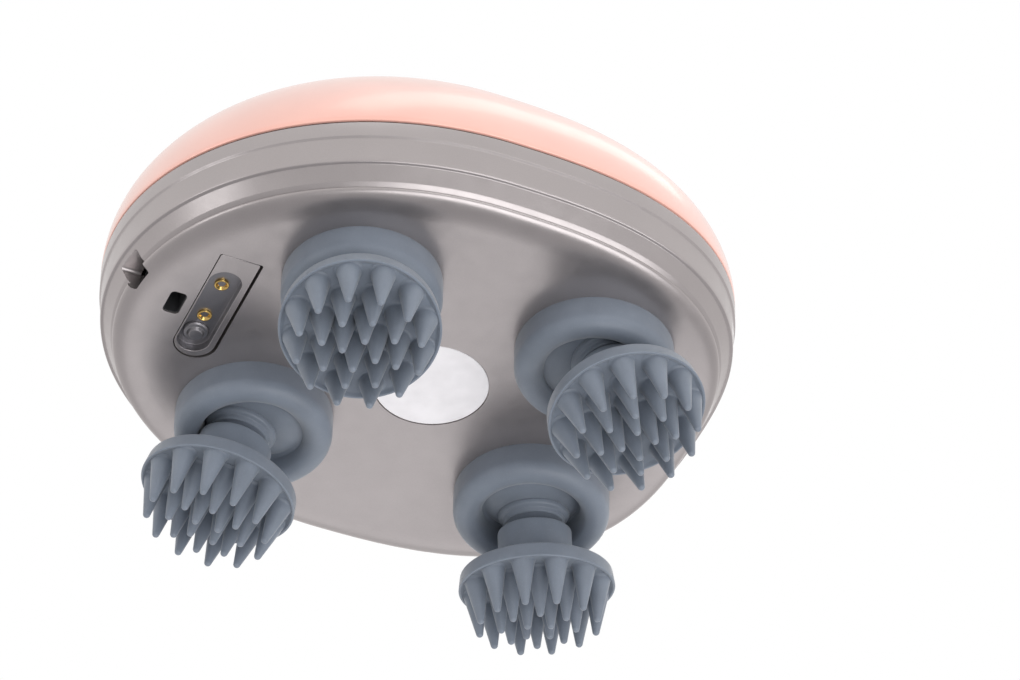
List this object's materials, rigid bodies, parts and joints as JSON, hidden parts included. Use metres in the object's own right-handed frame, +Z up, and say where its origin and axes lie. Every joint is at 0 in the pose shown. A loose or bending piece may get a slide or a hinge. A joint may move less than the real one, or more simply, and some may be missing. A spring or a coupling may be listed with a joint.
{
  "type": "electric scalp massager",
  "caption": "Cordless egg-shaped scalp massager with a domed grip, a silver base and four leaning silicone pin heads that knead as they circle.",
  "frame": {"origin": "under the middle of the body's outline, in the plane of the lowest pin tips that it stands on", "axes": "+Z up through the dome, +X along the body from the strap end to the blunt end, +Y towards the two wide-set heads"},
  "size_m": [0.108, 0.0918, 0.0742],
  "materials": {
    "pearl_pink": "pearl gloss",
    "satin_silver": "satin metallic paint on ABS",
    "dark_silver": "semi-gloss metallic paint",
    "gold_plate": "gold plated",
    "label_white": "satin film",
    "button_white": "gloss",
    "clear_plastic": "clear",
    "dark_seal": "matte",
    "silicone": "matte silicone",
    "arm_plastic": "matte",
    "pom": "natural acetal",
    "steel": "ground",
    "motor_can": "zinc plated",
    "brass": "machined",
    "black_plastic": "moulded",
    "bridge_steel": "zinc plated",
    "cell_sleeve": "shrink sleeve",
    "board_green": "solder mask",
    "screw_steel": "zinc plated"
  },
  "bodies": {
    "housing": {"top_shell": "pearl_pink", "shell_seal": "dark_seal", "mid_frame": "satin_silver", "base_cover": "satin_silver", "charge_insert": "dark_silver", "charge_contacts": "gold_plate", "label_disc": "label_white", "button_gasket": "dark_seal", "light_guide": "clear_plastic", "boot_1": "silicone", "boot_2": "silicone", "boot_3": "silicone", "boot_4": "silicone", "ball_seat_1": "pom", "ball_seat_2": "pom", "ball_seat_3": "pom", "ball_seat_4": "pom", "drive_axle": "steel", "reduction_axle": "steel", "motor": "motor_can", "gear_chassis": "black_plastic", "motor_bridge": "bridge_steel", "battery": "cell_sleeve", "battery_cradle": "black_plastic", "circuit_board": "board_green", "tact_switch": "black_plastic", "frame_screws": "screw_steel", "chassis_screws": "screw_steel", "bridge_screws": "screw_steel", "motor_screws": "screw_steel", "board_screws": "screw_steel"},
    "button": {"power_button": "button_white"},
    "drive": {"drive_gear": "pom"},
    "reduction": {"reduction_gear": "pom"},
    "rotor": {"motor_shaft": "steel", "motor_pinion": "brass"},
    "crank_1": {"crank_gear_1": "pom"},
    "head_1": {"arm_1": "arm_plastic", "brush_1": "silicone", "boot_ring_1": "silicone"},
    "crank_2": {"crank_gear_2": "pom"},
    "head_2": {"arm_2": "arm_plastic", "brush_2": "silicone", "boot_ring_2": "silicone"},
    "crank_3": {"crank_gear_3": "pom"},
    "head_3": {"arm_3": "arm_plastic", "brush_3": "silicone", "boot_ring_3": "silicone"},
    "crank_4": {"crank_gear_4": "pom"},
    "head_4": {"arm_4": "arm_plastic", "brush_4": "silicone", "boot_ring_4": "silicone"}
  },
  "joints": [
    {"name": "button_press", "type": "slide", "parent": "housing", "child": "button", "axis": [0, 0, -1], "range_m": [0, 0.0006], "stiffness_N_per_m": 900, "springref_m": -0.0002},
    {"name": "drive_spin", "type": "hinge", "parent": "housing", "child": "drive", "pos_m": [0.0049, 0.0029, 0.04064], "axis": [0, 0, 1], "continuous": true},
    {"name": "reduction_spin", "type": "hinge", "parent": "housing", "child": "reduction", "pos_m": [0.0049, 0.02512, 0.04644], "axis": [0, 0, 1], "continuous": true},
    {"name": "motor_spin", "type": "hinge", "parent": "housing", "child": "rotor", "pos_m": [0.0049, 0.00832, 0.04844], "axis": [0, 0, 1], "continuous": true},
    {"name": "crank_1_spin", "type": "hinge", "parent": "housing", "child": "crank_1", "pos_m": [-0.01615, -0.0189, 0.03244], "axis": [0, 0, 1], "continuous": true, "deforming": ["boot_1"]},
    {"name": "head_1_sway", "type": "hinge", "parent": "crank_1", "child": "head_1", "pos_m": [-0.01615, -0.0189, 0.03244], "axis": [0.0928, 0.2416, 0.9659], "continuous": true, "deforming": ["boot_1"]},
    {"name": "crank_2_spin", "type": "hinge", "parent": "housing", "child": "crank_2", "pos_m": [0.02595, -0.0189, 0.03244], "axis": [0, 0, 1], "continuous": true, "deforming": ["boot_2"]},
    {"name": "head_2_sway", "type": "hinge", "parent": "crank_2", "child": "head_2", "pos_m": [0.02595, -0.0189, 0.03244], "axis": [-0.1765, 0.1893, 0.9659], "continuous": true, "deforming": ["boot_2"]},
    {"name": "crank_3_spin", "type": "hinge", "parent": "housing", "child": "crank_3", "pos_m": [-0.0208, 0.01896, 0.03244], "axis": [0, 0, 1], "continuous": true, "deforming": ["boot_3"]},
    {"name": "head_3_sway", "type": "hinge", "parent": "crank_3", "child": "head_3", "pos_m": [-0.0208, 0.01896, 0.03244], "axis": [0.1862, -0.1798, 0.9659], "continuous": true, "deforming": ["boot_3"]},
    {"name": "crank_4_spin", "type": "hinge", "parent": "housing", "child": "crank_4", "pos_m": [0.0306, 0.01896, 0.03244], "axis": [0, 0, 1], "continuous": true, "deforming": ["boot_4"]},
    {"name": "head_4_sway", "type": "hinge", "parent": "crank_4", "child": "head_4", "pos_m": [0.0306, 0.01896, 0.03244], "axis": [-0.1447, -0.2146, 0.9659], "continuous": true, "deforming": ["boot_4"]}
  ],
  "couplings": [
    {"joint": "reduction_spin", "follows": "drive_spin", "ratio": -2.6667},
    {"joint": "motor_spin", "follows": "drive_spin", "ratio": 9.7778},
    {"joint": "crank_1_spin", "follows": "drive_spin", "ratio": -1.1429},
    {"joint": "head_1_sway", "follows": "drive_spin", "ratio": 1.1429},
    {"joint": "crank_2_spin", "follows": "drive_spin", "ratio": -1.1429},
    {"joint": "head_2_sway", "follows": "drive_spin", "ratio": 1.1429},
    {"joint": "crank_3_spin", "follows": "drive_spin", "ratio": -1.1429},
    {"joint": "head_3_sway", "follows": "drive_spin", "ratio": 1.1429},
    {"joint": "crank_4_spin", "follows": "drive_spin", "ratio": -1.1429},
    {"joint": "head_4_sway", "follows": "drive_spin", "ratio": 1.1429}
  ]
}
